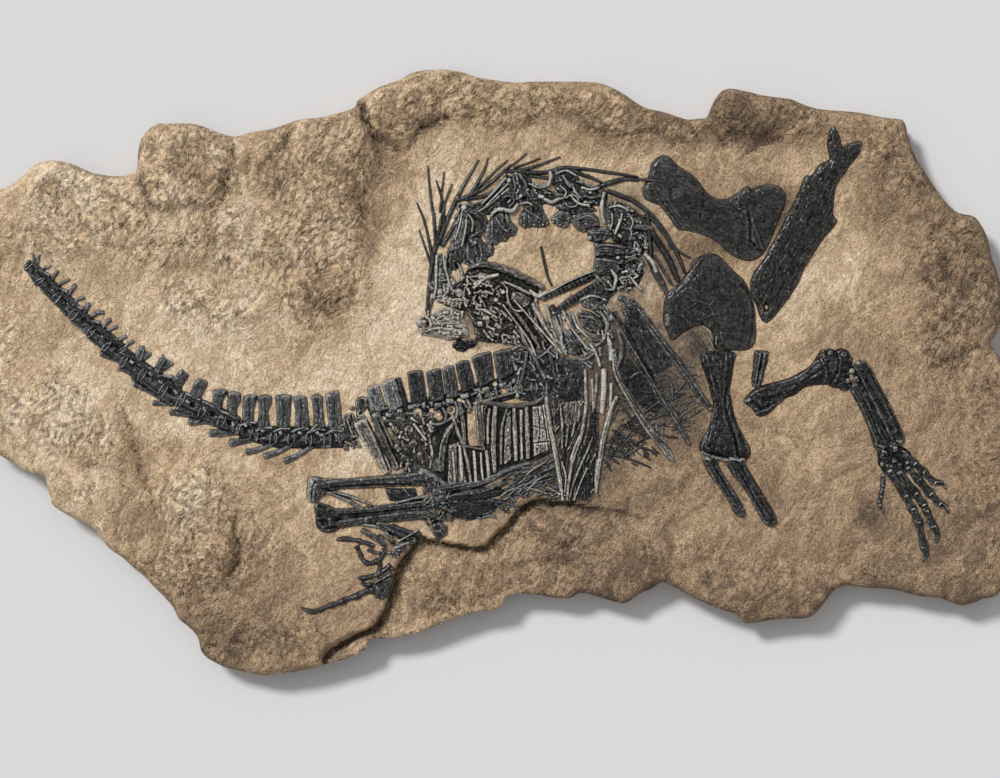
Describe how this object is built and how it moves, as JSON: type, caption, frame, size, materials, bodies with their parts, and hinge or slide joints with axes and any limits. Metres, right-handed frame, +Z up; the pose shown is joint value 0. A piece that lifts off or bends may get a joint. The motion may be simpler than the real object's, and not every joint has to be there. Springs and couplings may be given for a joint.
{
  "type": "fossil protorosaurus skeleton slab",
  "caption": "Large limestone slab with the articulated dark skeleton of a long-necked reptile lying in it, to lie flat on its back face.",
  "frame": {"origin": "middle of the slab's outline, on the flat back face that it rests on", "axes": "+X along the slab from the tail to the hands, +Y across it towards the neck's side, +Z up out of the bone bed"},
  "size_m": [1.2696, 0.7284, 0.075],
  "materials": {
    "limestone": "matt, sandy, weathered",
    "black_bone": "dark fossil bone with a slight sheen",
    "grey_bone": "mottled grey fossil bone, worn pale on its edges",
    "rib_bone": "fossil bone worn through to its pale inside"
  },
  "bodies": {
    "root": {"rock_slab": "limestone", "humerus_1": "black_bone", "radius_1": "black_bone", "ulna_1": "black_bone", "coracoid_plate_2": "black_bone", "coracoid_plate_1": "black_bone", "scapula_blade": "black_bone", "splinter_bone": "black_bone", "humerus_2": "black_bone", "radius_2": "black_bone", "ulna_2": "black_bone", "wrist_bones": "black_bone", "finger_1": "black_bone", "finger_2": "black_bone", "finger_3": "black_bone", "finger_4": "black_bone", "finger_5": "black_bone", "femur": "black_bone", "tibia": "black_bone", "fibula": "black_bone", "ankle_bones": "black_bone", "toe_1": "black_bone", "toe_2": "black_bone", "toe_3": "black_bone", "long_rod_1": "black_bone", "long_rod_2": "black_bone", "chest_rib_3": "rib_bone", "chest_rib_2": "rib_bone", "chest_rib_1": "rib_bone", "ilium": "rib_bone", "sacral_vertebrae": "rib_bone", "trunk_vertebrae_1": "grey_bone", "trunk_vertebrae_2": "grey_bone", "trunk_vertebrae_3": "grey_bone", "trunk_vertebrae_4": "grey_bone", "curved_bone": "rib_bone", "belly_bars": "black_bone", "rib_1": "rib_bone", "rib_2": "rib_bone", "rib_3": "rib_bone", "rib_4": "rib_bone", "gastralia": "black_bone", "lower_jaw": "black_bone", "skull": "rib_bone", "loose_rod": "black_bone", "neck_vertebrae_1": "black_bone", "neck_vertebrae_2": "black_bone", "neck_vertebrae_3": "black_bone", "neck_vertebrae_4": "black_bone", "neck_vertebrae_5": "black_bone", "neck_vertebrae_6": "black_bone", "cervical_ribs_1": "black_bone", "cervical_ribs_2": "black_bone", "cervical_ribs_3": "black_bone", "tail_vertebrae_1": "grey_bone", "tail_vertebrae_2": "grey_bone", "tail_vertebrae_3": "grey_bone", "tail_vertebrae_4": "grey_bone", "tail_vertebrae_5": "grey_bone"}
  },
  "joints": []
}
